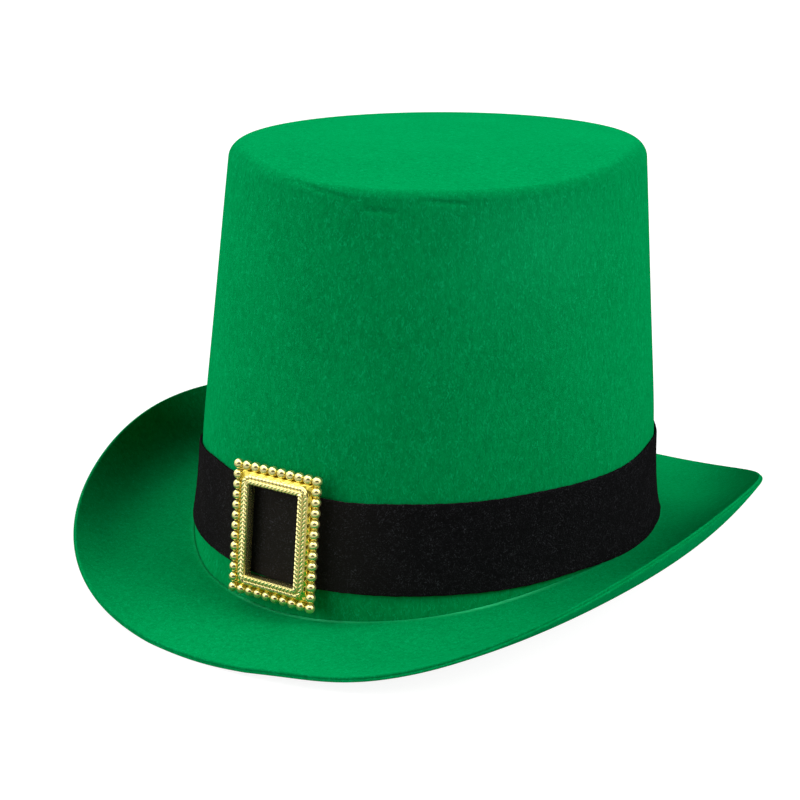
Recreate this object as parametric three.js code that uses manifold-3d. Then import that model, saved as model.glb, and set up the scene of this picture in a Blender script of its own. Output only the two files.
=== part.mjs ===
// A tall felt hat with a black felt band and a gold-plated buckle.
//
// Lengths are millimetres and +Z is up. The front of the hat, with the buckle, faces -Y, and the
// wearer's left is +X. The hat rests on z = 0 on the front and back dips of its brim.

import * as THREE from 'three';
import { mergeVertices } from 'three/addons/utils/BufferGeometryUtils.js';
import Module from 'manifold-3d';

const wasm = await Module();
wasm.setup();

// Materials' thickness and the clearance between pieces that touch
const FELT = 2;
const BAND_FELT = 1;
const CLEARANCE = 0.3;

// Crown: an oval cone whose foot is measured on its outer face at z = 0
const FOOT_LENGTH = 212;
const FOOT_WIDTH = 187.8;
const CROWN_HEIGHT = 165.2;
const WALL_DRAFT = THREE.MathUtils.degToRad(5.8);
const TIP_EDGE_RADIUS = 6.4;
const CROWN_RAKE = THREE.MathUtils.degToRad(1.2);

// Brim: the break is where its upper face leaves the crown, the rim is the edge of that face. The
// reaches are measured level, from the foot of the crown to the rim, and the fullness squares off
// the rim between the ends and the sides.
const BRIM_REACH_ENDS = 45;
const BRIM_REACH_SIDES = 34.5;
const ENDS_FULLNESS = 0.144;
const BREAK_CLEAR = 0.2;
const BREAK_RISE = 14;
const RIM_DROP = 0.6;
const RIM_LIFT = 38.8;
const RIM_SLACK = 4.5;
const BREAK_SLOPE = THREE.MathUtils.degToRad(-1);
const DIP_RIM_SLOPE = THREE.MathUtils.degToRad(-2);
const CURL_RIM_SLOPE = THREE.MathUtils.degToRad(63.5);
const CURL_ROUNDNESS = 1.375;

// Hat band: its lower edge just clears the brim at the sides
const BAND_LIFT = 0.5;
const BAND_WIDTH = 33.7;
const BAND_FLARE = 0.9;
const BAND_FLARE_WIDTH = 9;

// Buckle: beads are counted along each side with the corner beads. Depths are measured from its
// flat back, the frame rises in steps towards its open middle, and the buckle's own middle stands a
// little above the middle of the band.
const BEADS_ACROSS = 10;
const BEADS_DOWN = 13;
const BEAD_PITCH = 3.9;
const BEAD_DIAMETER = 3.7;
const BUCKLE_BORDER = 8.7;
const PLATE_MARGIN = 0.9;
const PLATE_DEPTH = 1.2;
const LEDGE_DEPTH = 2.1;
const LEDGE_RISE = 0.8;
const ROPE_DIAMETER = 1.7;
const OUTER_ROPE_DEPTH = 3.9;
const INNER_ROPE_DEPTH = 4.5;
const BUCKLE_RISE = 0.95;

// Facets
const TURN_STEPS = 80;
const WALL_STEPS = 4;
const TIP_EDGE_STEPS = 5;
const BRIM_STEPS = 8;
const BEAD_SIDES = 10;

const smoothstep = (share) => share * share * (3 - 2 * share);
const sharesOf = (steps) => Array.from({ length: steps + 1 }, (_, i) => i / steps);

// The crown's outer oval at a height on its axis. Its rings rise towards the back by the rake.
function crownPoint(angle, height, outset = 0) {
  const shrink = height * Math.tan(WALL_DRAFT) - outset;
  const y = -(FOOT_LENGTH / 2 - shrink) * Math.cos(angle);
  return new THREE.Vector3((FOOT_WIDTH / 2 - shrink) * Math.sin(angle), y, height + y * Math.tan(CROWN_RAKE));
}

// The height on the axis of the ring that passes through a given z at this angle.
function ringHeight(angle, z) {
  const lean = Math.tan(CROWN_RAKE) * Math.cos(angle);
  return (z + lean * FOOT_LENGTH / 2) / (1 + lean * Math.tan(WALL_DRAFT));
}

// The break is lowest at the front and back and rises to the sides.
const breakZ = (angle) => FELT + BREAK_CLEAR + BREAK_RISE * Math.sin(angle) ** 2;

// The band's rings are level with the crown's, from this height on its axis.
const bandFoot = breakZ(Math.PI / 2) + BAND_LIFT;

// One closed body swept through the sections and back to the first. A section is a closed loop,
// or a line whose first and last points lie on the axis.
function sweptBody(sections) {
  const points = sections[0].length;
  const index = [];
  sections.forEach((_, i) => {
    const here = i * points;
    const next = ((i + 1) % sections.length) * points;
    for (let j = 0; j < points; j += 1) {
      const k = (j + 1) % points;
      index.push(here + j, here + k, next + k, here + j, next + k, next + j);
    }
  });
  const geometry = new THREE.BufferGeometry();
  geometry.setAttribute('position', new THREE.Float32BufferAttribute(
    sections.flat().flatMap((point) => point.toArray()), 3));
  geometry.setIndex(index);
  return withoutSlivers(mergeVertices(geometry, 1e-4));
}

const turnedBody = (sectionAt) =>
  sweptBody(Array.from({ length: TURN_STEPS }, (_, i) => sectionAt((i / TURN_STEPS) * 2 * Math.PI)));

// Where points fall together, as at a pole, the triangles without area are left out.
function withoutSlivers(geometry) {
  const kept = [];
  const { array } = geometry.index;
  for (let i = 0; i < array.length; i += 3) {
    const [a, b, c] = array.slice(i, i + 3);
    if (a !== b && b !== c && c !== a) kept.push(a, b, c);
  }
  geometry.setIndex(kept);
  return geometry;
}

// Crown: felt shell with a flat tip, a rounded top edge and an open foot. Each face is a line
// from the foot up the wall, round the edge and over the tip to the axis.
function crownFace(angle, depth) {
  const radius = TIP_EDGE_RADIUS - depth;
  const wallTop = CROWN_HEIGHT - TIP_EDGE_RADIUS + radius * Math.sin(WALL_DRAFT);
  const foot = ringHeight(angle, breakZ(angle) - FELT);
  const wall = sharesOf(WALL_STEPS).map((share) =>
    crownPoint(angle, THREE.MathUtils.lerp(foot, wallTop, share), -depth));
  const edge = sharesOf(TIP_EDGE_STEPS).slice(1).map((share) => {
    const turn = THREE.MathUtils.lerp(WALL_DRAFT, Math.PI / 2, share);
    const inward = radius * (Math.cos(WALL_DRAFT) - Math.cos(turn));
    const upward = radius * (Math.sin(turn) - Math.sin(WALL_DRAFT));
    return crownPoint(angle, wallTop, -depth - inward).add(new THREE.Vector3(0, 0, upward));
  });
  const tipEdge = edge[edge.length - 1];
  const tipCentre = new THREE.Vector3(0, 0, tipEdge.z - tipEdge.y * Math.tan(CROWN_RAKE));
  return [...wall, ...edge, tipCentre];
}

const crownSection = (angle) => [...crownFace(angle, 0).reverse(), ...crownFace(angle, FELT)];

// Brim: a felt ring from the break to the rim, near flat at the front and back and curled up at
// the sides. Each section is one cubic curve with a named slope at either end.
function brimFace(angle, share) {
  const side = Math.sin(angle) ** 2;
  const inner = crownPoint(angle, ringHeight(angle, breakZ(angle)), CLEARANCE);
  const rim = new THREE.Vector3(
    (FOOT_WIDTH / 2 + BRIM_REACH_SIDES) * Math.sin(angle),
    -(FOOT_LENGTH / 2 + BRIM_REACH_ENDS) * Math.cos(angle) * (1 + ENDS_FULLNESS * side),
    FELT - RIM_DROP + RIM_LIFT * side - RIM_SLACK * Math.sin(2 * angle) ** 2);
  const outward = rim.clone().sub(inner).setZ(0).normalize();
  const reach = rim.distanceTo(inner) * THREE.MathUtils.lerp(1, CURL_ROUNDNESS, side);
  const slopeVector = (slope) => outward.clone().multiplyScalar(Math.cos(slope) * reach)
    .setZ(Math.sin(slope) * reach);
  const leaving = slopeVector(BREAK_SLOPE);
  const arriving = slopeVector(THREE.MathUtils.lerp(DIP_RIM_SLOPE, CURL_RIM_SLOPE, side));
  const blend = smoothstep(share);
  const point = inner.clone().multiplyScalar(1 - blend)
    .addScaledVector(rim, blend)
    .addScaledVector(leaving, share * (1 - share) ** 2)
    .addScaledVector(arriving, share ** 2 * (share - 1));
  // Felt gives where it rests, so the face stays a thickness above the surface
  return point.setZ(Math.max(point.z, FELT));
}

function brimUnderside(angle, share) {
  const step = 1e-3;
  const along = brimFace(angle + step, share).sub(brimFace(angle - step, share));
  const out = brimFace(angle, share + step).sub(brimFace(angle, share - step));
  const normal = out.cross(along).normalize();
  return brimFace(angle, share).addScaledVector(normal, -FELT);
}

function brimSection(angle) {
  const upper = sharesOf(BRIM_STEPS).map((share) => brimFace(angle, share));
  const lower = sharesOf(BRIM_STEPS).slice(1).map((share) => brimUnderside(angle, share));
  const foot = crownPoint(angle, ringHeight(angle, breakZ(angle) - FELT), CLEARANCE);
  return [...upper, ...lower.reverse(), foot];
}

// Hat band: a strip round the crown, its lower edge standing a little proud
function bandSection(angle) {
  const rows = [0, BAND_FLARE_WIDTH / 2, BAND_FLARE_WIDTH, BAND_WIDTH];
  const proud = (row) => BAND_FLARE * smoothstep(Math.max(0, 1 - row / BAND_FLARE_WIDTH));
  const flare = Math.sin(angle) ** 2;
  const face = (outset) => rows.map((row) =>
    crownPoint(angle, bandFoot + row, CLEARANCE + outset + proud(row) * flare));
  return [...face(BAND_FELT).reverse(), ...face(0)];
}

// Buckle: a moulded frame swept round a rectangle, with a row of beads on its plate
const buckleWidth = (BEADS_ACROSS - 1) * BEAD_PITCH + BEAD_DIAMETER;
const buckleHeight = (BEADS_DOWN - 1) * BEAD_PITCH + BEAD_DIAMETER;

// The frame's section as pairs of inset from the outer edge of the beads and depth.
function buckleProfile() {
  const rope = (centre, depth) => [-1, -0.5, 0, 0.5, 1].map((side) => [
    centre + side * ROPE_DIAMETER / 2,
    depth - (ROPE_DIAMETER / 4) * side ** 2,
  ]);
  const ropesStart = BUCKLE_BORDER - 2 * ROPE_DIAMETER;
  return [
    [PLATE_MARGIN, 0],
    [PLATE_MARGIN, PLATE_DEPTH],
    [BEAD_DIAMETER, PLATE_DEPTH],
    [BEAD_DIAMETER, LEDGE_DEPTH],
    [ropesStart, LEDGE_DEPTH + LEDGE_RISE],
    ...rope(ropesStart + ROPE_DIAMETER / 2, OUTER_ROPE_DEPTH),
    ...rope(BUCKLE_BORDER - ROPE_DIAMETER / 2, INNER_ROPE_DEPTH),
    [BUCKLE_BORDER, 0],
  ];
}

function buckleFrame() {
  const corners = [[-1, -1], [-1, 1], [1, 1], [1, -1]];
  return sweptBody(corners.map(([sideX, sideY]) => buckleProfile().map(([inset, depth]) =>
    new THREE.Vector3(sideX * (buckleWidth / 2 - inset), sideY * (buckleHeight / 2 - inset), depth))));
}

function beadPlaces() {
  const places = [];
  for (let column = 0; column < BEADS_ACROSS; column += 1) {
    for (let row = 0; row < BEADS_DOWN; row += 1) {
      const edge = column === 0 || column === BEADS_ACROSS - 1 || row === 0 || row === BEADS_DOWN - 1;
      if (edge) {
        places.push([
          (column - (BEADS_ACROSS - 1) / 2) * BEAD_PITCH,
          (row - (BEADS_DOWN - 1) / 2) * BEAD_PITCH,
        ]);
      }
    }
  }
  return places;
}

// Joining of closed meshes
function toManifold(geometry) {
  const bare = geometry.clone();
  bare.deleteAttribute('normal');
  bare.deleteAttribute('uv');
  const merged = withoutSlivers(mergeVertices(bare, 1e-4));
  return new wasm.Manifold(new wasm.Mesh({
    numProp: 3,
    vertProperties: new Float32Array(merged.attributes.position.array),
    triVerts: new Uint32Array(merged.index.array),
  }));
}

function toGeometry(solid) {
  const { numProp, vertProperties, triVerts } = solid.getMesh();
  const positions = [];
  for (let i = 0; i < vertProperties.length; i += numProp) {
    positions.push(...vertProperties.slice(i, i + 3));
  }
  const geometry = new THREE.BufferGeometry();
  geometry.setAttribute('position', new THREE.Float32BufferAttribute(positions, 3));
  geometry.setIndex([...triVerts]);
  return geometry;
}

function buckleGeometry() {
  const bead = new THREE.SphereGeometry(BEAD_DIAMETER / 2, BEAD_SIDES, BEAD_SIDES / 2);
  bead.rotateX(Math.PI / 2).translate(0, 0, BEAD_DIAMETER / 2);
  const beads = beadPlaces().map(([x, y]) => toManifold(bead.clone().translate(x, y, 0)));
  return toGeometry(beads.reduce((sum, solid) => sum.add(solid), toManifold(buckleFrame())));
}

// A named piece with the look of its material.
function piece(name, geometry, look) {
  const mesh = new THREE.Mesh(geometry, new THREE.MeshStandardMaterial(look));
  mesh.name = name;
  return mesh;
}

const greenFelt = { color: '#008c4a', roughness: 0.95, metalness: 0 };
const blackFelt = { color: '#161617', roughness: 0.95, metalness: 0 };
const goldPlate = { color: '#d8b943', roughness: 0.22, metalness: 1 };

const hat = new THREE.Group();
hat.add(piece('crown', turnedBody(crownSection), greenFelt));
hat.add(piece('brim', turnedBody(brimSection), greenFelt));
hat.add(piece('hat_band', turnedBody(bandSection), blackFelt));

// The buckle lies flat against the front of the band, leaning back with the wall
const buckle = piece('buckle', buckleGeometry(), goldPlate);
buckle.rotation.x = Math.PI / 2 - WALL_DRAFT;
buckle.position.copy(
  crownPoint(0, bandFoot + BAND_WIDTH / 2 + BUCKLE_RISE, CLEARANCE + BAND_FELT + CLEARANCE));
hat.add(buckle);

export default hat;
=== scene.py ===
"""A tall green felt hat with a black felt band and a gold-plated buckle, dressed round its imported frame.

Lengths are metres and +Z is up. The front, with the buckle, faces -Y. Angles round the hat start there
and grow towards the wearer's left, +X.
"""

import bpy
import numpy as np
from mathutils import Matrix, Vector


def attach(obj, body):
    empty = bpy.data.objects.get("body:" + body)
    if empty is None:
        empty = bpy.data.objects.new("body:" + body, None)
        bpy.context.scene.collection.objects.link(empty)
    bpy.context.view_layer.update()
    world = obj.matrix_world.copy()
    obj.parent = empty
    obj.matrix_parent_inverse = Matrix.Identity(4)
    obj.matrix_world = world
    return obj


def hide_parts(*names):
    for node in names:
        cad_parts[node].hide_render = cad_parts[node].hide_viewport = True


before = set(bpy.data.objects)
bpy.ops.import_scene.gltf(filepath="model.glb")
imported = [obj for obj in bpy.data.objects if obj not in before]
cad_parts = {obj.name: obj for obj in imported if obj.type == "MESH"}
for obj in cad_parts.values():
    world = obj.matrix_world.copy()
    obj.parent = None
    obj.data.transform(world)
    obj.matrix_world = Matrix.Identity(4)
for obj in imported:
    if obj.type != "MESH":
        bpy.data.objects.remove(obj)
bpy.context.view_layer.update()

# Crown: the tall body of the hat, one piece of polyester felt that was steamed and pressed over an oval
# block. Its tip is flat, but has sunk at the front left. Its top edge is soft, its wall widens downwards,
# and it is open below, where the head goes in.
MM = 0.001
FELT = 2 * MM
CLEARANCE = 0.3 * MM
FOOT_LENGTH = 212 * MM
FOOT_WIDTH = 187.8 * MM
CROWN_HEIGHT = 165.2 * MM
WALL_DRAFT = np.radians(5.8)
TIP_EDGE_RADIUS = 6.4 * MM
CROWN_RAKE = np.radians(1.2)
BREAK_CLEAR = 0.2 * MM
BREAK_RISE = 14 * MM
BAND_PINCH = 1.5 * MM
PINCH_HEIGHT = 30 * MM
PINCH_SPREAD = 20 * MM
PINCH_FADE = 8 * MM
FELT_WAVES = (
    # waves round the turn, phase and its change up the wall in radians, millimetres outwards
    (3, 2.1, 1.7, 0.10),
    (7, 0.4, -5.3, 0.07),
    (11, 3.0, 8.1, 0.05),
)
BREAK_STRAYS = (
    # turn and width in degrees, millimetres outwards
    (-24, 9, 0.7),
    (18, 8, -0.4),
    (44, 10, 0.4),
    (-45, 12, -0.6),
)
TIP_SAG = 3.9 * MM
SAG_TURN = 35
SAG_SPREAD = 54
SAG_REACH = 40 * MM
TIP_SINKS_OVER = 0.7
EDGE_TIGHTENING = 0.4
# Painted highlight: a lighter patch up the wall at the front left stands in for a broad soft sheen.
BRUSHED_TURN = 58
BRUSHED_WIDTH = 20
BRUSHED_HEIGHT = 138 * MM
BRUSHED_REACH = 26 * MM
BRUSHED_BELOW = TIP_SAG + TIP_EDGE_RADIUS / 2
BRUSHED_SHARE = 0.22
CREASE_WIDTH = 0.9 * MM
CREASES = (
    # turn and half length in degrees, millimetres below the tip, fall in millimetres a radian, depth
    (6, 11, 5.0, 11, 1.1),
    (21.5, 5, 10.4, 6.6, 0.9),
    (37, 7, 6.8, 8, 0.5),
)
WALL_CROWDING = 1.5
FELT_SHADE = "#007238"
FELT_MIDDLE = "#008444"
# The colour of the felt's light flecks, and of the painted sheen patch on the wall.
FELT_LIGHT = "#0ca060"
# Painted highlight: a paler green for the lip where the brim leaves the crown, as the ridge catches the
# light.
FELT_WORN = "#3cd08a"
FELT_SHEEN = "#00ff98"
FELT_CLOUD_SIZE = 26 * MM
FELT_STREAK_SIZE = 1.7 * MM
FELT_FLECK_SIZE = 1.0 * MM
FELT_NAP = 0.25 * MM
TURN_STEPS = 480
TURN = np.linspace(0, 2 * np.pi, TURN_STEPS, endpoint=False)[:, None]


def crown_point(angle, height, outset=0.0):
    """The crown's outer oval at a height on its axis: an ellipse that shrinks by the draft as it rises and
    grows by the outset, tipped up towards the back by the rake."""
    shrink = height * np.tan(WALL_DRAFT) - outset
    x = (FOOT_WIDTH / 2 - shrink) * np.sin(angle)
    y = -(FOOT_LENGTH / 2 - shrink) * np.cos(angle)
    return np.stack(np.broadcast_arrays(x, y, height + y * np.tan(CROWN_RAKE)), axis=-1)


def ring_height(angle, z):
    """The height on the axis of the oval that passes through a given z at this angle: crown_point's z,
    solved for its height."""
    lean = np.tan(CROWN_RAKE) * np.cos(angle)
    return (z + lean * FOOT_LENGTH / 2) / (1 + lean * np.tan(WALL_DRAFT))


def break_z(angle):
    """The line where the brim leaves the crown: lowest at front and back, and up the sides with the
    square of the sine."""
    return FELT + BREAK_CLEAR + BREAK_RISE * np.sin(angle) ** 2


def smooth(share):
    """A smooth step from nought to one: 3 s squared less 2 s cubed, level at both ends."""
    share = np.clip(share, 0, 1)
    return share ** 2 * (3 - 2 * share)


def signed_degrees(angle):
    """An angle round the hat in degrees, from -180 to 180."""
    return (np.degrees(angle) + 180) % 360 - 180


def bells(angle, table):
    """The sum of a table's bells round the turn, each with its own middle, width and size."""
    return sum(size * np.exp(-((signed_degrees(angle) - turn) / width) ** 2) for turn, width, size in table)


def above_break(angle, height):
    """A smooth step up the wall: nought at the break and one where the break's strays have faded out."""
    return smooth((height - ring_height(angle, break_z(angle))) / PINCH_FADE)


def band_pinch(angle, height):
    """How far the tight band draws the wall in: a bell about the band's middle, nothing at the front and
    back, where the oval is stiff, and nothing at the break."""
    up_wall = above_break(angle, height) * np.exp(-((height - PINCH_HEIGHT) / PINCH_SPREAD) ** 2)
    return BAND_PINCH * np.abs(np.sin(angle)) * up_wall


def pressed_waver(angle, height):
    """How far the felt strays from its block: slow waves, each a sine round the turn with a phase that
    runs up the wall, and the strays of the break, which fade up the wall."""
    rise = height / CROWN_HEIGHT
    waves = 0
    for count, phase, change, size in FELT_WAVES:
        waves = waves + size * np.sin(count * angle + phase + change * rise)
    above = above_break(angle, height)
    return MM * (above * waves + (1 - above) * bells(angle, BREAK_STRAYS))


def crease(angle, height):
    """Short folds that pressing left under the front of the top edge: each a groove with a bell-shaped
    section along a line that drops as it goes round, fading at both ends."""
    depth = 0
    for turn, reach, drop, slant, size in CREASES:
        past = signed_degrees(angle) - turn
        line = CROWN_HEIGHT - MM * (drop + slant * np.radians(past))
        along = np.clip(1 - (past / reach) ** 2, 0, None)
        depth = depth + size * MM * along * np.exp(-((height - line) / CREASE_WIDTH) ** 2)
    return depth


def sag_share(angle):
    """Where the tip has sunk: a flat-topped bell round the turn, with its middle at the front left."""
    return np.exp(-((signed_degrees(angle) - SAG_TURN) / SAG_SPREAD) ** 4)


def tip_sag(angle, height):
    """How far the wall has sunk: the bell round the turn, faded down the wall by a smooth step."""
    return TIP_SAG * sag_share(angle) * smooth((height - CROWN_HEIGHT + SAG_REACH) / SAG_REACH)


def brushed(angle, z):
    """How far the wall is painted lighter as a broad soft highlight of sheen: a bell round the turn and up
    the wall, which ends below the top edge."""
    round_turn = ((signed_degrees(angle) - BRUSHED_TURN) / BRUSHED_WIDTH) ** 2
    up_wall = ((z - BRUSHED_HEIGHT) / BRUSHED_REACH) ** 2
    below_edge = smooth((CROWN_HEIGHT - BRUSHED_BELOW - z) / TIP_EDGE_RADIUS)
    return BRUSHED_SHARE * below_edge * np.exp(-round_turn - up_wall)


def crown_face(depth, wall_rows, edge_rows, tip_rows):
    """One face of the shell, as deep in it as depth says: straight up the wall in rows that crowd towards
    its top, a quarter turn round the top edge, which is tighter where the tip has sunk, and rings that
    shrink over the tip. Returns its grid and the middle of the tip."""
    radius = TIP_EDGE_RADIUS * (1 - EDGE_TIGHTENING * sag_share(TURN)) - depth
    wall_top = CROWN_HEIGHT - TIP_EDGE_RADIUS + radius * np.sin(WALL_DRAFT)
    foot = ring_height(TURN, break_z(TURN) - FELT)
    climb = 1 - (1 - np.linspace(0, 1, wall_rows)) ** WALL_CROWDING
    height = foot + (wall_top - foot) * climb
    stray = pressed_waver(TURN, height) - crease(TURN, height) - band_pinch(TURN, height)
    wall = crown_point(TURN, height, stray - depth)
    wall[..., 2] -= tip_sag(TURN, height)
    bend = np.linspace(WALL_DRAFT, np.pi / 2, edge_rows + 1)[1:]
    upward = radius * (np.sin(bend) - np.sin(WALL_DRAFT))
    inward = radius * (np.cos(WALL_DRAFT) - np.cos(bend))
    stray = pressed_waver(TURN, wall_top) * np.cos(bend) - crease(TURN, wall_top + upward)
    edge = crown_point(TURN, wall_top, stray - depth - inward)
    edge[..., 2] += upward
    rim = edge[:, -1:, :]
    centre = rim.mean(axis=(0, 1))
    inwards = np.linspace(0, 1, tip_rows + 1)[1:-1]
    tip = rim + (centre - rim) * inwards[:, None]
    edge[..., 2] -= tip_sag(TURN, wall_top + upward)
    tip[..., 2] -= TIP_SAG * sag_share(TURN) * (1 - smooth(inwards / TIP_SINKS_OVER))
    return np.concatenate([wall, edge, tip], axis=1), centre


def grid_faces(turns, rows, with_poles):
    """Quads and triangles over a grid of points, turn by profile, numbered profile after profile. The grid
    joins round the turn. Its profile runs on to its own start, or, with poles, each end has a fan of
    triangles to a pole, and the two poles come after the grid's points. A profile that runs up on the
    outside gives faces that look outwards."""
    here = np.arange(turns)[:, None]
    after = (here + 1) % turns
    row = np.arange(rows - 1 if with_poles else rows)[None, :]
    above = (row + 1) % rows
    quads = np.stack([
        here * rows + row, after * rows + row, after * rows + above, here * rows + above], axis=-1)
    fans = np.empty((0, 3), int)
    if with_poles:
        pole = turns * rows
        top = rows - 1
        start = np.stack(np.broadcast_arrays(pole, after * rows, here * rows), axis=-1)
        end = np.stack(np.broadcast_arrays(pole + 1, here * rows + top, after * rows + top), axis=-1)
        fans = np.concatenate([start, end]).reshape(-1, 3)
    return quads.reshape(-1, 4), fans


def new_piece(name, points, faces):
    """A smooth mesh object in the scene, from an array of points and a list of faces."""
    mesh = bpy.data.meshes.new(name)
    mesh.from_pydata(points.tolist(), [], faces)
    mesh.shade_smooth()
    piece = bpy.data.objects.new(name, mesh)
    bpy.context.scene.collection.objects.link(piece)
    return piece


def skin(name, grid, poles=(), **attributes):
    """A piece whose faces cover a grid of points and end at the poles, if there are any. Each attribute
    is a number at every point of the grid, and nought at the poles."""
    turns, rows = grid.shape[:2]
    points = np.concatenate([grid.reshape(-1, 3), np.array(poles).reshape(-1, 3)])
    quads, fans = grid_faces(turns, rows, with_poles=len(poles) > 0)
    piece = new_piece(name, points, quads.tolist() + fans.tolist())
    for label, values in attributes.items():
        spread = np.zeros(len(points), np.float32)
        spread[:turns * rows] = np.broadcast_to(values, (turns, rows)).ravel()
        piece.data.attributes.new(label, "FLOAT", "POINT").data.foreach_set("value", spread)
    piece.data.validate()
    return piece


def linear(code):
    """An sRGB hex colour as linear RGBA: each channel is (c + 0.055) / 1.055 to the power 2.4, or c / 12.92
    when it is very dark."""
    shades = np.array([int(code[i:i + 2], 16) / 255 for i in (1, 3, 5)])
    curve = np.where(shades > 0.04045, ((shades + 0.055) / 1.055) ** 2.4, shades / 12.92)
    return (*curve.tolist(), 1.0)


def add_node(material, kind, inputs=None, **settings):
    """Adds one node to a material. settings are the node's own, and inputs gives each named or numbered
    input a value, or the output socket that feeds it."""
    tree = material.node_tree
    node = tree.nodes.new("ShaderNode" + kind)
    for label, value in settings.items():
        setattr(node, label, value)
    for label, value in (inputs or {}).items():
        if isinstance(value, bpy.types.NodeSocket):
            tree.links.new(value, node.inputs[label])
        else:
            node.inputs[label].default_value = value
    return node


def new_material(name):
    """An empty node material, ready for add_node."""
    material = bpy.data.materials.new(name)
    material.use_nodes = True
    material.node_tree.nodes.clear()
    return material


# Pressed polyester felt: fine crimped fibres lie mostly up the wall, a little lighter than the ground
# between them. They give the eye a soft mottle, a matt face and a faint sheen where it turns away.
# The fibres are drawn about four times as coarse as they are, so that they show at this size.
green_felt = new_material("pressed_green_felt")
place = add_node(green_felt, "TexCoord").outputs["Object"]
clouds = add_node(green_felt, "TexNoise", {
    "Vector": place, "Scale": 1 / FELT_CLOUD_SIZE, "Detail": 3.0, "Roughness": 0.5})
upright = add_node(green_felt, "Mapping", {"Vector": place, "Scale": (1, 1, 0.5)})
streaks = add_node(green_felt, "TexNoise", {
    "Vector": upright.outputs["Vector"], "Scale": 1 / FELT_STREAK_SIZE, "Detail": 3.0, "Roughness": 0.65,
    "Distortion": 0.6})
loose = add_node(green_felt, "Mapping", {"Vector": place, "Scale": (1, 1, 0.5), "Rotation": (0.2, 0.15, 0)})
flecks = add_node(green_felt, "TexNoise", {
    "Vector": loose.outputs["Vector"], "Scale": 1 / FELT_FLECK_SIZE, "Detail": 2.0, "Roughness": 0.6,
    "Distortion": 1.6})
mottle = add_node(green_felt, "Math", {
    0: clouds.outputs["Fac"], 1: 0.3, 2: streaks.outputs["Fac"]}, operation="MULTIPLY_ADD")
ground = add_node(green_felt, "MapRange", {
    "Value": mottle.outputs["Value"], "From Min": 0.45, "From Max": 0.85})
felt_ground = add_node(green_felt, "Mix", {
    0: ground.outputs["Result"], 6: linear(FELT_SHADE), 7: linear(FELT_MIDDLE)}, data_type="RGBA")
raised = add_node(green_felt, "MapRange", {
    "Value": flecks.outputs["Fac"], "From Min": 0.52, "From Max": 0.72, "To Max": 0.6})
# Painted highlight: the sheen patch up the wall lightens the felt to the flecks' colour.
lifted = add_node(green_felt, "Attribute", attribute_name="brushed")
light_nap = add_node(green_felt, "Math", {
    0: raised.outputs["Result"], 1: lifted.outputs["Fac"]}, operation="ADD", use_clamp=True)
felt_colour = add_node(green_felt, "Mix", {
    0: light_nap.outputs["Value"], 6: felt_ground.outputs[2], 7: linear(FELT_LIGHT)}, data_type="RGBA")
# Painted highlight along the lip at the brim's break, read from an attribute.
rubbed = add_node(green_felt, "Attribute", attribute_name="rubbed")
worn = add_node(green_felt, "Mix", {
    0: rubbed.outputs["Fac"], 6: felt_colour.outputs[2], 7: linear(FELT_WORN)}, data_type="RGBA")
relief = add_node(green_felt, "Math", {0: streaks.outputs["Fac"], 1: flecks.outputs["Fac"]}, operation="ADD")
nap = add_node(green_felt, "Bump", {
    "Height": relief.outputs["Value"], "Strength": 0.5, "Distance": FELT_NAP})
felt_face = add_node(green_felt, "BsdfPrincipled", {
    "Base Color": worn.outputs[2], "Roughness": 1.0, "Specular IOR Level": 0.0,
    "Normal": nap.outputs["Normal"], "Sheen Weight": 0.12, "Sheen Roughness": 0.5,
    "Sheen Tint": linear(FELT_SHEEN)})
add_node(green_felt, "OutputMaterial", {"Surface": felt_face.outputs["BSDF"]})

outer, outer_pole = crown_face(0.0, wall_rows=92, edge_rows=16, tip_rows=20)
inner, inner_pole = crown_face(FELT, wall_rows=20, edge_rows=8, tip_rows=8)
crown_grid = np.concatenate([inner[:, ::-1], outer], axis=1)
# The painted highlight patch, as a share at every point of the shell.
crown_brushed = brushed(TURN, crown_grid[..., 2])
crown = skin("crown_felt", crown_grid, poles=(inner_pole, outer_pole), brushed=crown_brushed)
crown.data.materials.append(green_felt)
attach(crown, "root")
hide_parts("crown")

# Brim: the same felt, pressed with the crown into a ring that dips at the front and back, where the hat
# rests, and curls up at both sides. Its rim is a plain cut edge with a fine split between its two layers.
BRIM_REACH_ENDS = 45 * MM
BRIM_REACH_SIDES = 34.5 * MM
ENDS_FULLNESS = 0.144
RIM_DROP = 0.6 * MM
RIM_LIFT = 38.8 * MM
RIM_SLACK = 4.5 * MM
BREAK_SLOPE = np.radians(-1)
DIP_RIM_SLOPE = np.radians(-2)
CURL_RIM_SLOPE = np.radians(63.5)
CURL_ROUNDNESS = 1.375
RIM_WAVES = (
    # turn and width in degrees, millimetres up
    (14.5, 9.5, 2.0),
    (80, 14, -0.9),
    (-60, 14, -0.9),
    (-98, 14, -1.2),
    (-150, 14, 1.0),
    (166, 10, 0.2),
)
CUT_CORNER = 0.5 * MM
CUT_SPLIT = 0.35 * MM
CUT_SPLIT_WIDTH = 0.25 * MM
BREAK_SEAM = 0.05 * MM
BREAK_LIP = 0.35 * MM
BREAK_LIP_WIDTH = 0.8 * MM
# Painted highlight on the lip at the break: a share all round, and more in a few stretches.
RUBBED_ALL_ROUND = 0.15
RUBBED_STRETCHES = (
    # turn and width in degrees, share of painted highlight
    (-6, 7, 0.8),
    (11, 8, 0.9),
    (52, 10, 1.0),
)
UPPER_ROWS = 72
UPPER_CROWDING = 1.15
LOWER_ROWS = 48
LOWER_END = 0.02
CUT_ROWS = 6


def seam(angle, depth):
    """The brim's inner edge, against the crown, at a depth below the break."""
    outset = BREAK_SEAM + MM * bells(angle, BREAK_STRAYS)
    return crown_point(angle, ring_height(angle, break_z(angle) - depth), outset)


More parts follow.
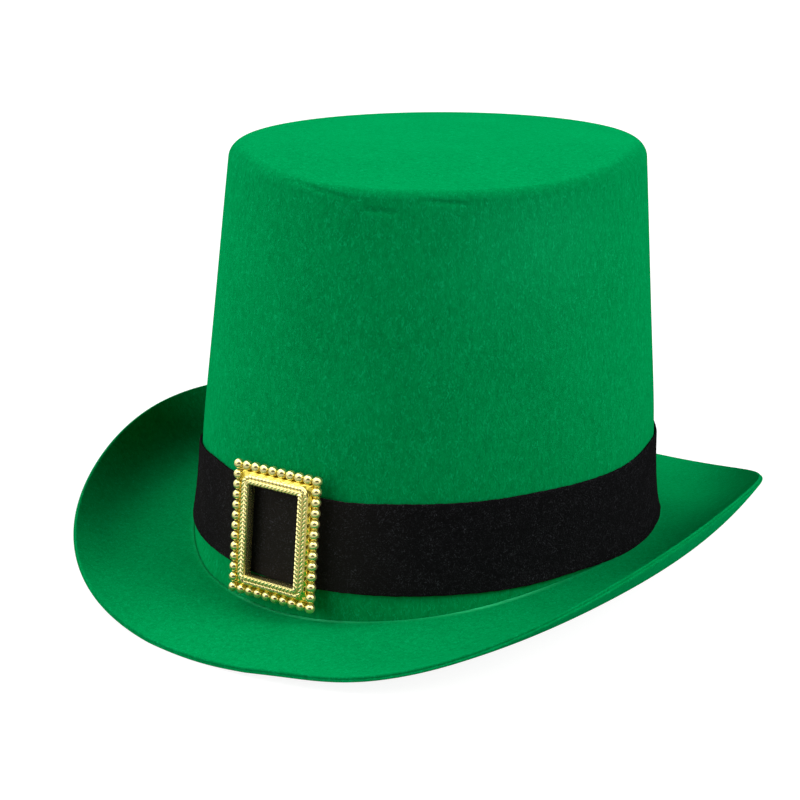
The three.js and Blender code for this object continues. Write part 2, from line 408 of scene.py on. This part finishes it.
def brim_face(angle, share):
    """The brim's upper face from the crown to the rim: a cubic between two points with a slope at either
    end, all four changing with the square of the angle's sine. It stays a thickness above the floor, but
    for a few waves, which grow outwards with the square of the share."""
    side = np.sin(angle) ** 2
    start = seam(angle, 0.0)
    rim = np.stack(np.broadcast_arrays(
        (FOOT_WIDTH / 2 + BRIM_REACH_SIDES) * np.sin(angle),
        -(FOOT_LENGTH / 2 + BRIM_REACH_ENDS) * np.cos(angle) * (1 + ENDS_FULLNESS * side),
        FELT - RIM_DROP + RIM_LIFT * side - RIM_SLACK * np.sin(2 * angle) ** 2), axis=-1)
    outward = (rim - start) * [1, 1, 0]
    outward /= np.linalg.norm(outward, axis=-1, keepdims=True)
    upward = np.array([0, 0, 1])
    roundness = 1 + (CURL_ROUNDNESS - 1) * side
    reach = np.linalg.norm(rim - start, axis=-1, keepdims=True) * roundness[..., None]
    rim_slope = (DIP_RIM_SLOPE + (CURL_RIM_SLOPE - DIP_RIM_SLOPE) * side)[..., None]
    leaving = reach * (np.cos(BREAK_SLOPE) * outward + np.sin(BREAK_SLOPE) * upward)
    arriving = reach * (np.cos(rim_slope) * outward + np.sin(rim_slope) * upward)
    share = share[..., None]
    blend = share ** 2 * (3 - 2 * share)
    point = start * (1 - blend) + rim * blend + leaving * share * (1 - share) ** 2
    point = point + arriving * share ** 2 * (share - 1)
    point[..., 2] = np.maximum(point[..., 2], FELT) + MM * bells(angle, RIM_WAVES) * share[..., 0] ** 2
    return point


def brim_frame(angle, share):
    """The brim's face with its unit outward and upward directions there, taken from small steps round the
    turn and along the profile."""
    step = 1e-3
    out = brim_face(angle, share) - brim_face(angle, share - step)
    along = brim_face(angle + step, share) - brim_face(angle - step, share)
    normal = np.cross(out, along)
    out /= np.linalg.norm(out, axis=-1, keepdims=True)
    normal /= np.linalg.norm(normal, axis=-1, keepdims=True)
    return brim_face(angle, share), out, normal


def cut_edge(rows):
    """The cut edge's section, as how far out and how deep each point lies from the rim's sharp corner: a
    quarter turn, a split of bell-shaped section half way down, and a quarter turn back."""
    bend = np.linspace(0, np.pi / 2, rows)
    corner_out = -CUT_CORNER * (1 - np.sin(bend))
    corner_deep = CUT_CORNER * (1 - np.cos(bend))
    deep = np.linspace(CUT_CORNER, FELT - CUT_CORNER, 2 * rows)[1:-1]
    split = -CUT_SPLIT * np.exp(-((deep - FELT / 2) / CUT_SPLIT_WIDTH) ** 2)
    out = np.concatenate([corner_out, split, corner_out[::-1]])
    return out, np.concatenate([corner_deep, deep, FELT - corner_deep[::-1]])


face_end = 1 - CUT_CORNER / (BRIM_REACH_SIDES * CURL_ROUNDNESS)
upper = brim_face(TURN, face_end * (1 - (1 - np.linspace(0, 1, UPPER_ROWS)) ** UPPER_CROWDING))
from_break = np.linalg.norm(upper - upper[:, :1], axis=-1)
lip = np.exp(-(from_break / BREAK_LIP_WIDTH) ** 2)
upper_face = upper + BREAK_LIP * lip[..., None] * [0, 0, 1]
edge_out, edge_deep = cut_edge(CUT_ROWS)
corner, corner_out, corner_normal = brim_frame(TURN, np.ones(1))
edge_face = corner + corner_out * edge_out[:, None] - corner_normal * edge_deep[:, None]
lower, _, lower_normal = brim_frame(TURN, face_end * np.linspace(1, LOWER_END, LOWER_ROWS))
lower_face = lower - FELT * lower_normal
# The profile runs out over the top, down the cut edge and back below, so it is reversed to face outwards.
brim_grid = np.concatenate([upper_face, edge_face[:, 1:-1], lower_face, seam(TURN, FELT)], axis=1)
# The painted highlight on the lip at the break, on the upper face only.
brim_rubbed = np.zeros(brim_grid.shape[:2])
brim_rubbed[:, :UPPER_ROWS] = lip * np.clip(RUBBED_ALL_ROUND + bells(TURN, RUBBED_STRETCHES), 0, 1)
brim = skin("brim_felt", brim_grid[:, ::-1], rubbed=brim_rubbed[:, ::-1])
brim.data.materials.append(green_felt)
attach(brim, "root")
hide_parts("brim")

# Hat band: a strip of black brushed felt, thinner and more hairy than the green, drawn tight round the
# foot of the crown into a loop. At the sides its lower edge rides out over the start of the brim.
BAND_FELT = 1 * MM
BAND_LIFT = 0.5 * MM
BAND_WIDTH = 33.7 * MM
BAND_FLARE = 2.1 * MM
BAND_FLARE_WIDTH = 2.4 * MM
FLARE_TURN = 103
FLARE_SPREAD = 18
BAND_CORNER = 0.4 * MM
BAND_DROOP = 3 * MM
DROOP_START = 98
DROOP_RUN = 24
BAND_SUNK = 1 * MM
SUNK_SQUEEZE = 0.05
UPPER_EDGE_STRAYS = (
    # turn and width in degrees, millimetres up
    (-26, 8, 1.0),
    (18, 7, -0.5),
    (60, 8, 0.3),
    (-66, 22, -6.5),
    (90, 14, -0.95),
    (107, 6, 0.6),
)
LOWER_EDGE_STRAYS = (
    # turn and width in degrees, millimetres up
    (-20, 8, 0.3),
    (70, 9, 0.55),
    (108, 18, -3.2),
    (114, 10, -2.6),
)
FRAY = 0.12 * MM
FRAY_WAVES = (
    # waves round the turn, phase in radians
    (61, 0.0),
    (97, 1.3),
    (151, 4.0),
)
# Painted light: the band is a lighter, warmer black round the buckle and a little beside it, where the
# buckle shades it.
BAND_FADED = (
    # turn and width in degrees, share of painted light
    (2, 19, 1.0),
    (-40, 14, 0.3),
)
BAND_SHADE = "#101011"
BAND_RUBBED = "#201e1b"
BAND_HAIR = "#56565c"
BAND_HAIR_SIZE = 1.0 * MM
BAND_PATCH_SIZE = 9 * MM
BAND_PILE = 0.5 * MM


def band_proud(angle, row):
    """How far the band stands out beyond the crown: a smooth rise towards its lower edge, under a bell
    round the turn at either side."""
    share = 1 - row / BAND_FLARE_WIDTH
    past = (np.abs(signed_degrees(angle)) - FLARE_TURN) / FLARE_SPREAD
    return BAND_FLARE * smooth(share) * np.exp(-past ** 2)


def band_section(rows, corner_rows):
    """The strip's section as height above its foot and depth in from its outer face: up the outer face,
    a half turn over the upper edge, down the inner face and a half turn back."""
    bend = np.linspace(0, np.pi / 2, corner_rows)
    round_in = BAND_CORNER * (1 - np.cos(bend))
    round_up = BAND_WIDTH - BAND_CORNER * (1 - np.sin(bend))
    height = np.linspace(BAND_CORNER, BAND_WIDTH - BAND_CORNER, rows)[1:-1]
    up = np.concatenate([height, round_up])
    deep = np.concatenate([0 * height, round_in])
    half_up = np.concatenate([up, up[::-1]])
    half_deep = np.concatenate([deep, BAND_FELT - deep[::-1]])
    foot_up = BAND_WIDTH - round_up
    whole_up = np.concatenate([half_up, foot_up, foot_up[::-1]])
    whole_deep = np.concatenate([half_deep, BAND_FELT - round_in, round_in[::-1]])
    return whole_up, whole_deep


band_foot = break_z(np.pi / 2) + BAND_LIFT
band_up, band_deep = band_section(rows=30, corner_rows=5)
ragged = FRAY / len(FRAY_WAVES) * sum(np.sin(count * TURN + phase) for count, phase in FRAY_WAVES)
frayed = np.abs(band_up - BAND_WIDTH / 2) > BAND_WIDTH / 2 - 2 * BAND_CORNER
edge_share = band_up / BAND_WIDTH
edge_stray = bells(TURN, UPPER_EDGE_STRAYS) * edge_share + bells(TURN, LOWER_EDGE_STRAYS) * (1 - edge_share)
droop = BAND_DROOP * smooth((np.abs(signed_degrees(TURN)) - DROOP_START) / DROOP_RUN)
band_height = band_foot + band_up + ragged * frayed + MM * edge_stray - droop
# The lower edge may sink into the brim's felt, but doesn't come out below it.
band_seat = ring_height(TURN, break_z(TURN) - BAND_SUNK)
squeezed = band_seat + SUNK_SQUEEZE * (band_height - band_seat)
band_height = np.where(band_height < band_seat, squeezed, band_height)
band_outset = CLEARANCE + BAND_FELT - band_deep + band_proud(TURN, band_up)
band_outset = band_outset + pressed_waver(TURN, band_height) - band_pinch(TURN, band_height)
band_grid = crown_point(TURN, band_height, band_outset)
# The painted light on the band, as a share round the turn.
band = skin("band_felt", band_grid, faded=np.clip(bells(TURN, BAND_FADED), 0, 1))
black_felt = new_material("brushed_black_felt")
place = add_node(black_felt, "TexCoord").outputs["Object"]
hairs = add_node(black_felt, "TexNoise", {
    "Vector": place, "Scale": 1 / BAND_HAIR_SIZE, "Detail": 3.0, "Roughness": 0.6, "Distortion": 2.2})
patches = add_node(black_felt, "TexNoise", {"Vector": place, "Scale": 1 / BAND_PATCH_SIZE, "Detail": 2.0})
standing = add_node(black_felt, "MapRange", {
    "Value": hairs.outputs["Fac"], "From Min": 0.54, "From Max": 0.78, "To Max": 0.8})
thick = add_node(black_felt, "Math", {
    0: standing.outputs["Result"], 1: patches.outputs["Fac"]}, operation="MULTIPLY")
# Painted light: the band's ground is lighter where the buckle shades it.
faded = add_node(black_felt, "Attribute", attribute_name="faded")
band_ground = add_node(black_felt, "Mix", {
    0: faded.outputs["Fac"], 6: linear(BAND_SHADE), 7: linear(BAND_RUBBED)}, data_type="RGBA")
hair_colour = add_node(black_felt, "Mix", {
    0: thick.outputs["Value"], 6: band_ground.outputs[2], 7: linear(BAND_HAIR)}, data_type="RGBA")
pile = add_node(black_felt, "Bump", {
    "Height": hairs.outputs["Fac"], "Strength": 0.8, "Distance": BAND_PILE})
black_face = add_node(black_felt, "BsdfPrincipled", {
    "Base Color": hair_colour.outputs[2], "Roughness": 1.0, "Specular IOR Level": 0.0,
    "Normal": pile.outputs["Normal"]})
add_node(black_felt, "OutputMaterial", {"Surface": black_face.outputs["BSDF"]})
band.data.materials.append(black_felt)
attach(band, "root")
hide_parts("hat_band")

# Buckle: one moulding of hard plastic with a bright gold plating, glued to the front of the band. A
# flat frame carries a row of round beads at its edge and two rope mouldings round its open middle.
BEADS_ACROSS = 10
BEADS_DOWN = 13
BEAD_PITCH = 3.9 * MM
BEAD_DIAMETER = 3.7 * MM
BEAD_SLICES = 24
BEAD_RINGS = 13
BUCKLE_BORDER = 8.1 * MM
BUCKLE_RISE = 0.45 * MM
BUCKLE_SHIFT = 0.45 * MM
BUCKLE_TILT = np.radians(1.1)
BUCKLE_WIDTH = (BEADS_ACROSS - 1) * BEAD_PITCH + BEAD_DIAMETER
BUCKLE_HEIGHT = (BEADS_DOWN - 1) * BEAD_PITCH + BEAD_DIAMETER
PLATE_MARGIN = 1.6 * MM
PLATE_DEPTH = 1.0 * MM
PLATE_ROUNDING = 0.25 * MM
PLATE_CORNER = 0.5 * MM
PLATE_STEPS = 640
LEDGE_DEPTH = 2.4 * MM
LEDGE_RISE = 0.45 * MM
LEDGE_SCALLOP = 0.25 * MM
LEDGE_ROWS = 9
OPENING_CORNER = 0.4 * MM
ROPE_DIAMETER = 1.7 * MM
OUTER_ROPE_DEPTH = 4.2 * MM
INNER_ROPE_DEPTH = 4.9 * MM
ROPES_START = BUCKLE_BORDER - 2 * ROPE_DIAMETER
ROPES_CORNER = OPENING_CORNER + 2 * ROPE_DIAMETER
ROPE_TWIST = 1.6 * MM
ROPE_SLANT = 0.45
STRAND_POWER = 0.8
STRAND_GROOVE = 0.7
STRAND_NARROWING = 0.14
ROPE_FOOT = 0.9
ROPE_SUNK = 0.2 * MM
ROPE_STEPS = 1000
ROPE_ROWS = 13
GOLD = "#eee298"
# Painted reflection: the frame and ledge outside the ropes are a deeper yellow, as gold reflected in gold.
GOLD_RECESS = "#f0d640"
RECESS_SHARE = 0.8
GOLD_RIPPLE_SIZE = 1.6 * MM
GOLD_RIPPLE_DEPTH = 0.1 * MM


def frame_line(inset, radius, place_on_line):
    """A rectangle with rounded corners, inset from the buckle's edge: a smaller rectangle's corner plus a
    radius that turns through each corner. place_on_line counts its four sides and four corners in turn."""
    half = np.array([BUCKLE_WIDTH, BUCKLE_HEIGHT]) / 2 - inset - radius
    knots = np.arange(9)
    x = np.interp(place_on_line, knots, half[0] * np.array([1, 1, 1, -1, -1, -1, -1, 1, 1]))
    y = np.interp(place_on_line, knots, half[1] * np.array([-1, 1, 1, 1, 1, -1, -1, -1, -1]))
    facing = np.interp(place_on_line, knots, np.pi / 2 * np.array([0, 0, 1, 1, 2, 2, 3, 3, 4]))
    outward = np.stack([np.cos(facing), np.sin(facing)], axis=-1)
    return np.stack([x, y], axis=-1) + radius * outward, outward


def even_places(inset, radius, steps):
    """Places on a frame line at even distances, from the lengths of its sides and corners, and its whole
    length."""
    half = np.array([BUCKLE_WIDTH, BUCKLE_HEIGHT]) / 2 - inset - radius
    corner_run = np.pi / 2 * radius
    lengths = np.array([2 * half[1], corner_run, 2 * half[0], corner_run] * 2)
    reached = np.concatenate([[0], np.cumsum(lengths)])
    return np.interp(np.linspace(0, reached[-1], steps, endpoint=False), reached, np.arange(9)), reached[-1]


def on_band(points):
    """Turns points from the buckle's flat back, with x across, y up and z out, to the front of the band,
    where it leans back with the wall and sits a little askew."""
    seat = crown_point(0.0, band_foot + BAND_WIDTH / 2 + BUCKLE_RISE, 2 * CLEARANCE + BAND_FELT)
    level = np.array([1, 0, 0])
    upward = np.array([0, np.sin(WALL_DRAFT), np.cos(WALL_DRAFT)])
    across = np.cos(BUCKLE_TILT) * level + np.sin(BUCKLE_TILT) * upward
    up = np.cos(BUCKLE_TILT) * upward - np.sin(BUCKLE_TILT) * level
    out = np.array([0, -np.cos(WALL_DRAFT), np.sin(WALL_DRAFT)])
    return seat + BUCKLE_SHIFT * level + points @ np.stack([across, up, out])


def plate_grid():
    """The flat frame and its raised inner part: a section of insets and depths carried round frame lines,
    whose corners are tight under the beads and concentric from the ropes inwards. Between beads and ropes
    the ledge rises, and its depth follows a cosine at the beads' pitch, lowest beside each bead. Returns
    the grid and each row's share of painted reflection: a deeper yellow on the frame and ledge outside
    the ropes, for light that bounces between the gold faces there."""
    outer_base = OUTER_ROPE_DEPTH - ROPE_DIAMETER / 2
    inner_base = INNER_ROPE_DEPTH - ROPE_DIAMETER / 2
    ledge = np.linspace(0, 1, LEDGE_ROWS)
    ledge_start = BEAD_DIAMETER + PLATE_ROUNDING
    ledge_inset = ledge_start + (ROPES_START - ledge_start) * ledge
    ledge_depth = LEDGE_DEPTH + LEDGE_RISE * ledge
    section = np.concatenate([
        [[PLATE_MARGIN, 0],
         [PLATE_MARGIN, PLATE_DEPTH - PLATE_ROUNDING],
         [PLATE_MARGIN + PLATE_ROUNDING, PLATE_DEPTH],
         [BEAD_DIAMETER - PLATE_ROUNDING, PLATE_DEPTH],
         [BEAD_DIAMETER, PLATE_DEPTH + PLATE_ROUNDING],
         [BEAD_DIAMETER, LEDGE_DEPTH - PLATE_ROUNDING]],
        np.stack([ledge_inset, ledge_depth], axis=-1),
        [[ROPES_START, outer_base],
         [ROPES_START + ROPE_DIAMETER, outer_base],
         [ROPES_START + ROPE_DIAMETER, inner_base],
         [BUCKLE_BORDER - PLATE_ROUNDING, inner_base],
         [BUCKLE_BORDER, inner_base - PLATE_ROUNDING],
         [BUCKLE_BORDER, 0]]])
    insets, depths = section.T
    radii = np.interp(insets, [BEAD_DIAMETER, ROPES_START, BUCKLE_BORDER],
                      [PLATE_CORNER, ROPES_CORNER, OPENING_CORNER])
    places = even_places(ROPES_START, ROPES_CORNER, PLATE_STEPS)[0]
    flat = np.stack([frame_line(*line, places)[0] for line in zip(insets, radii)], axis=1)
    outward = frame_line(ROPES_START, 0.0, places)[1]
    upright = np.abs(outward[:, :1]) > np.abs(outward[:, 1:])
    past_bead = np.where(upright, flat[..., 1], flat[..., 0] + BEAD_PITCH / 2) / BEAD_PITCH
    across = np.clip((insets - BEAD_DIAMETER) / (ROPES_START - BEAD_DIAMETER), 0, 1)
    depth = depths - LEDGE_SCALLOP * np.sin(np.pi * across) * np.cos(2 * np.pi * past_bead)
    return np.concatenate([flat, depth[..., None]], axis=-1), RECESS_SHARE * (across < 1)


def rope_grid(inset, top, slant):
    """A rope moulding: a half-round ridge, closed below, whose height swells and dips as the strands of a
    twisted rope cross it. The slant is how many strands a line straight across half the rope meets."""
    radius = BUCKLE_BORDER - inset + OPENING_CORNER
    places, length = even_places(inset, radius, ROPE_STEPS)
    line, outward = frame_line(inset, radius, places)
    strands = round(length / ROPE_TWIST)
    bend = np.linspace(0, np.pi, ROPE_ROWS)
    across = np.concatenate([np.cos(bend), [-1, 1]])
    dome = np.concatenate([np.sin(bend), [-1, -1]])
    turned = np.linspace(0, strands, ROPE_STEPS, endpoint=False)[:, None] + slant * across
    groove = 1 - np.abs(np.sin(np.pi * turned)) ** STRAND_POWER
    height = ROPE_DIAMETER / 2 * dome * (1 - STRAND_GROOVE * groove)
    depth = top - ROPE_DIAMETER / 2 + np.where(dome >= 0, height, -ROPE_SUNK)
    width = ROPE_DIAMETER / 2 * np.where(dome >= 0, 1 - STRAND_NARROWING * groove, ROPE_FOOT) * across
    flat = line[:, None] + width[..., None] * outward[:, None]
    return np.concatenate([flat, np.broadcast_to(depth, flat.shape[:2])[..., None]], axis=-1)


def bead_row():
    """Round beads at even steps along the frame's edge: one ball of slices and rings, with a pole at
    either end, repeated. Returns the points and the faces of them all."""
    column, row = np.meshgrid(np.arange(BEADS_ACROSS), np.arange(BEADS_DOWN), indexing="ij")
    at_edge = (column % (BEADS_ACROSS - 1) == 0) | (row % (BEADS_DOWN - 1) == 0)
    x = (column[at_edge] - (BEADS_ACROSS - 1) / 2) * BEAD_PITCH
    y = (row[at_edge] - (BEADS_DOWN - 1) / 2) * BEAD_PITCH
    centres = np.stack([x, y, np.full(len(x), BEAD_DIAMETER / 2)], axis=-1)
    longitude = np.linspace(0, 2 * np.pi, BEAD_SLICES, endpoint=False)[:, None]
    latitude = np.linspace(-np.pi / 2, np.pi / 2, BEAD_RINGS + 2)[1:-1]
    ball = np.stack(np.broadcast_arrays(
        np.cos(longitude) * np.cos(latitude),
        np.sin(longitude) * np.cos(latitude),
        np.sin(latitude)), axis=-1).reshape(-1, 3)
    ball = BEAD_DIAMETER / 2 * np.concatenate([ball, [[0, 0, -1], [0, 0, 1]]])
    quads, fans = grid_faces(BEAD_SLICES, BEAD_RINGS, with_poles=True)
    shift = (np.arange(len(centres)) * len(ball))[:, None, None]
    faces = (quads + shift).reshape(-1, 4).tolist() + (fans + shift).reshape(-1, 3).tolist()
    return (centres[:, None] + ball).reshape(-1, 3), faces


gold = new_material("gold_plated_abs")
place = add_node(gold, "TexCoord").outputs["Object"]
ripple = add_node(gold, "TexNoise", {"Vector": place, "Scale": 1 / GOLD_RIPPLE_SIZE, "Detail": 2.0})
cast = add_node(gold, "Bump", {
    "Height": ripple.outputs["Fac"], "Strength": 0.15, "Distance": GOLD_RIPPLE_DEPTH})
# Painted reflection: a deeper yellow on the frame and ledge, read from an attribute.
recess = add_node(gold, "Attribute", attribute_name="recess")
gold_colour = add_node(gold, "Mix", {
    0: recess.outputs["Fac"], 6: linear(GOLD), 7: linear(GOLD_RECESS)}, data_type="RGBA")
gold_face = add_node(gold, "BsdfPrincipled", {
    "Base Color": gold_colour.outputs[2], "Metallic": 0.86, "Roughness": 0.16,
    "Normal": cast.outputs["Normal"]})
add_node(gold, "OutputMaterial", {"Surface": gold_face.outputs["BSDF"]})

# The plate carries each row's share of painted reflection.
plate_points, in_recess = plate_grid()
plate = skin("buckle_plate", on_band(plate_points), recess=in_recess)
inner_points = rope_grid(BUCKLE_BORDER - ROPE_DIAMETER / 2, INNER_ROPE_DEPTH, ROPE_SLANT)
inner_rope = skin("buckle_rope_inner", on_band(inner_points))
outer_points = rope_grid(ROPES_START + ROPE_DIAMETER / 2, OUTER_ROPE_DEPTH, -ROPE_SLANT)
outer_rope = skin("buckle_rope_outer", on_band(outer_points))
bead_points, bead_faces = bead_row()
beads = new_piece("buckle_beads", on_band(bead_points), bead_faces)
for part in (plate, inner_rope, outer_rope, beads):
    part.data.materials.append(gold)
    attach(part, "root")
    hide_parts("buckle")

# Studio: a plain pale floor under five broad soft lights, the strongest at the right and the left, and
# the camera where the photograph was taken from.
FLOOR_REACH = 12.0
FLOOR_SIDES = 96
CAMERA_AIM = (-13.04 * MM, -4.49 * MM, 56.34 * MM)
CAMERA_TURN = np.radians(32.93)
CAMERA_RISE = np.radians(16.75)
CAMERA_ROLL = np.radians(1.646)
CAMERA_DISTANCE = 0.625
CAMERA_LENS = 67.93
LIGHT_SPREAD = np.radians(40)
LIGHTS = (
    # name, turn and rise in degrees, watts to the square metre
    ("right", 120, 40, 2.9),
    ("side", 90, 28, 0.9),
    ("front", -30, 16, 1.6),
    ("left", -60, 40, 1.9),
    ("back", -120, 40, 1.2),
)
FLOOR_GLOW = 0.9
FLOOR_SHADED = "#808080"
FLOOR_BOUNCE = "#b0b0b0"
SKY_SEEN = 1.0
SKY_GLOSS = 1.25
SKY_CROWN = 3.0
SKY_CROWN_RISE = (0.35, 0.75)
SKY_GAP = 0.02
GAP_TURN = np.radians(31)
GAP_RISE = np.radians(10)
GAP_REACH = np.radians((32, 50))
SKY_FILL = 0.02


def toward(turn, rise):
    """The unit direction from the hat at a turn round it and a rise above level."""
    return np.array([np.sin(turn) * np.cos(rise), -np.cos(turn) * np.cos(rise), np.sin(rise)])


def aimed(thing, place, target, roll=0.0):
    """Puts a light or camera at a place, looking at a target with its own up towards +Z, then rolled."""
    look = Vector(target) - Vector(place)
    turned = look.to_track_quat("-Z", "Y").to_matrix().to_4x4() @ Matrix.Rotation(roll, 4, "Z")
    thing.matrix_world = Matrix.Translation(place) @ turned
    bpy.context.scene.collection.objects.link(thing)


rim_turn = np.linspace(0, 2 * np.pi, FLOOR_SIDES, endpoint=False)
floor_rim = FLOOR_REACH * np.stack([np.cos(rim_turn), np.sin(rim_turn), 0 * rim_turn], axis=-1)
floor = new_piece("floor", floor_rim, [list(range(FLOOR_SIDES))])
# Backlit paper: it looks white in the picture, with faint shadows, and throws back only part of the light.
paper = new_material("backlit_white_paper")
bounce = add_node(paper, "BsdfDiffuse", {"Color": linear(FLOOR_BOUNCE)})
shaded = add_node(paper, "BsdfDiffuse", {"Color": linear(FLOOR_SHADED)})
glow = add_node(paper, "Emission", {"Strength": FLOOR_GLOW})
seen = add_node(paper, "AddShader", {0: shaded.outputs["BSDF"], 1: glow.outputs["Emission"]})
eye = add_node(paper, "LightPath")
paper_face = add_node(paper, "MixShader", {
    "Fac": eye.outputs["Is Camera Ray"], 1: bounce.outputs["BSDF"], 2: seen.outputs["Shader"]})
add_node(paper, "OutputMaterial", {"Surface": paper_face.outputs["Shader"]})
floor.data.materials.append(paper)

for name, turn, rise, watts in LIGHTS:
    lamp = bpy.data.lights.new(name, "SUN")
    lamp.angle = LIGHT_SPREAD
    lamp.energy = watts
    soft_box = bpy.data.objects.new(name, lamp)
    soft_box.visible_glossy = False
    aimed(soft_box, toward(np.radians(turn), np.radians(rise)), (0, 0, 0))

world = bpy.data.worlds.new("studio")
world.use_nodes = True
bpy.context.scene.world = world
backdrop = world.node_tree.nodes["Background"]
# In a mirror the studio is bright all round, but for a dark gap between the soft boxes at the front.
path = add_node(world, "LightPath")
sky_place = add_node(world, "TexCoord").outputs["Generated"]
facing_gap = add_node(world, "VectorMath", {
    0: sky_place, 1: tuple(toward(GAP_TURN, GAP_RISE))}, operation="DOT_PRODUCT")
height = add_node(world, "SeparateXYZ", {"Vector": sky_place}).outputs["Z"]
overhead = add_node(world, "MapRange", {
    "Value": height, "From Min": SKY_CROWN_RISE[0], "From Max": SKY_CROWN_RISE[1],
    "To Min": SKY_GLOSS, "To Max": SKY_CROWN})
mirrored = add_node(world, "MapRange", {
    "Value": facing_gap.outputs["Value"], "From Min": np.cos(GAP_REACH[1]), "From Max": np.cos(GAP_REACH[0]),
    "To Min": overhead.outputs["Result"], "To Max": SKY_GAP})
gloss = add_node(world, "MapRange", {
    "Value": path.outputs["Is Glossy Ray"], "To Min": SKY_FILL, "To Max": mirrored.outputs["Result"]})
level = add_node(world, "MapRange", {
    "Value": path.outputs["Is Camera Ray"], "To Min": gloss.outputs["Result"], "To Max": SKY_SEEN})
world.node_tree.links.new(level.outputs["Result"], backdrop.inputs["Strength"])
backdrop.inputs["Color"].default_value = (1, 1, 1, 1)
bpy.context.scene.view_settings.view_transform = "Standard"

camera = bpy.data.objects.new("camera", bpy.data.cameras.new("camera"))
camera.data.lens = CAMERA_LENS
camera_place = np.array(CAMERA_AIM) + CAMERA_DISTANCE * toward(CAMERA_TURN, CAMERA_RISE)
aimed(camera, camera_place, CAMERA_AIM, CAMERA_ROLL)
bpy.context.scene.camera = camera
